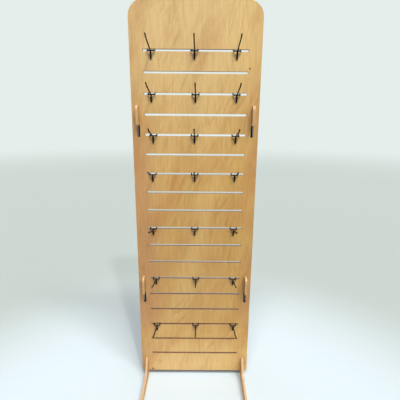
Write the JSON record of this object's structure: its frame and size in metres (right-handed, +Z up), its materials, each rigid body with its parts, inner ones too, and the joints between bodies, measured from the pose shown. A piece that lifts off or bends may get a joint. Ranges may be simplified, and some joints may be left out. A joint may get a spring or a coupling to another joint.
{
  "type": "display stand",
  "caption": "Tall free-standing plywood display stand with a slotted front panel on plug-in side legs and wire hooks that slide along the slots.",
  "frame": {"origin": "on the floor, at the centre of the stand's footprint", "axes": "+Z up, front face of the panel towards -Y, +X to the viewer's right when the front is viewed"},
  "size_m": [0.48, 0.48, 1.562],
  "materials": {
    "panel_plywood": "satin clear-coated face, laser-darkened cut edges",
    "leg_plywood": "satin clear-coated face with bare laminated edges",
    "hook_wire": "satin black powder coat"
  },
  "bodies": {
    "front_panel": {"front_panel": "panel_plywood"},
    "left_leg": {"left_leg": "leg_plywood"},
    "right_leg": {"right_leg": "leg_plywood"},
    "hook_row1_left": {"hook_row1_left": "hook_wire"},
    "hook_row1_middle": {"hook_row1_middle": "hook_wire"},
    "hook_row1_right": {"hook_row1_right": "hook_wire"},
    "hook_row2_left": {"hook_row2_left": "hook_wire"},
    "hook_row2_middle": {"hook_row2_middle": "hook_wire"},
    "hook_row2_right": {"hook_row2_right": "hook_wire"},
    "hook_row3_left": {"hook_row3_left": "hook_wire"},
    "hook_row3_middle": {"hook_row3_middle": "hook_wire"},
    "hook_row3_right": {"hook_row3_right": "hook_wire"},
    "hook_row4_left": {"hook_row4_left": "hook_wire"},
    "hook_row4_middle": {"hook_row4_middle": "hook_wire"},
    "hook_row4_right": {"hook_row4_right": "hook_wire"},
    "hook_row5_left": {"hook_row5_left": "hook_wire"},
    "hook_row5_middle": {"hook_row5_middle": "hook_wire"},
    "hook_row5_right": {"hook_row5_right": "hook_wire"},
    "hook_row6_left": {"hook_row6_left": "hook_wire"},
    "hook_row6_middle": {"hook_row6_middle": "hook_wire"},
    "hook_row6_right": {"hook_row6_right": "hook_wire"},
    "hook_row7_left": {"hook_row7_left": "hook_wire"},
    "hook_row7_middle": {"hook_row7_middle": "hook_wire"},
    "hook_row7_right": {"hook_row7_right": "hook_wire"}
  },
  "joints": [
    {"name": "left_leg_drop", "type": "slide", "parent": "front_panel", "child": "left_leg", "axis": [0, 0, -1], "range_m": [0, 0.038]},
    {"name": "right_leg_drop", "type": "slide", "parent": "front_panel", "child": "right_leg", "axis": [0, 0, -1], "range_m": [0, 0.038]},
    {"name": "hook_row1_left_slide", "type": "slide", "parent": "front_panel", "child": "hook_row1_left", "axis": [1, 0, 0], "range_m": [-0.0145, 0.072]},
    {"name": "hook_row1_middle_slide", "type": "slide", "parent": "front_panel", "child": "hook_row1_middle", "axis": [1, 0, 0], "range_m": [-0.051, 0.059]},
    {"name": "hook_row1_right_slide", "type": "slide", "parent": "front_panel", "child": "hook_row1_right", "axis": [1, 0, 0], "range_m": [-0.06, 0.0265]},
    {"name": "hook_row2_left_slide", "type": "slide", "parent": "front_panel", "child": "hook_row2_left", "axis": [1, 0, 0], "range_m": [-0.0125, 0.074]},
    {"name": "hook_row2_middle_slide", "type": "slide", "parent": "front_panel", "child": "hook_row2_middle", "axis": [1, 0, 0], "range_m": [-0.055, 0.055]},
    {"name": "hook_row2_right_slide", "type": "slide", "parent": "front_panel", "child": "hook_row2_right", "axis": [1, 0, 0], "range_m": [-0.063, 0.0235]},
    {"name": "hook_row3_left_slide", "type": "slide", "parent": "front_panel", "child": "hook_row3_left", "axis": [1, 0, 0], "range_m": [-0.0155, 0.071]},
    {"name": "hook_row3_middle_slide", "type": "slide", "parent": "front_panel", "child": "hook_row3_middle", "axis": [1, 0, 0], "range_m": [-0.052, 0.058]},
    {"name": "hook_row3_right_slide", "type": "slide", "parent": "front_panel", "child": "hook_row3_right", "axis": [1, 0, 0], "range_m": [-0.064, 0.0225]},
    {"name": "hook_row4_left_slide", "type": "slide", "parent": "front_panel", "child": "hook_row4_left", "axis": [1, 0, 0], "range_m": [-0.0095, 0.077]},
    {"name": "hook_row4_middle_slide", "type": "slide", "parent": "front_panel", "child": "hook_row4_middle", "axis": [1, 0, 0], "range_m": [-0.053, 0.057]},
    {"name": "hook_row4_right_slide", "type": "slide", "parent": "front_panel", "child": "hook_row4_right", "axis": [1, 0, 0], "range_m": [-0.065, 0.0215]},
    {"name": "hook_row5_left_slide", "type": "slide", "parent": "front_panel", "child": "hook_row5_left", "axis": [1, 0, 0], "range_m": [-0.0055, 0.081]},
    {"name": "hook_row5_middle_slide", "type": "slide", "parent": "front_panel", "child": "hook_row5_middle", "axis": [1, 0, 0], "range_m": [-0.054, 0.056]},
    {"name": "hook_row5_right_slide", "type": "slide", "parent": "front_panel", "child": "hook_row5_right", "axis": [1, 0, 0], "range_m": [-0.068, 0.0185]},
    {"name": "hook_row6_left_slide", "type": "slide", "parent": "front_panel", "child": "hook_row6_left", "axis": [1, 0, 0], "range_m": [-0.0115, 0.075]},
    {"name": "hook_row6_middle_slide", "type": "slide", "parent": "front_panel", "child": "hook_row6_middle", "axis": [1, 0, 0], "range_m": [-0.059, 0.051]},
    {"name": "hook_row6_right_slide", "type": "slide", "parent": "front_panel", "child": "hook_row6_right", "axis": [1, 0, 0], "range_m": [-0.073, 0.0135]},
    {"name": "hook_row7_left_slide", "type": "slide", "parent": "front_panel", "child": "hook_row7_left", "axis": [1, 0, 0], "range_m": [-0.0095, 0.077]},
    {"name": "hook_row7_middle_slide", "type": "slide", "parent": "front_panel", "child": "hook_row7_middle", "axis": [1, 0, 0], "range_m": [-0.059, 0.051]},
    {"name": "hook_row7_right_slide", "type": "slide", "parent": "front_panel", "child": "hook_row7_right", "axis": [1, 0, 0], "range_m": [-0.08, 0.0065]}
  ]
}
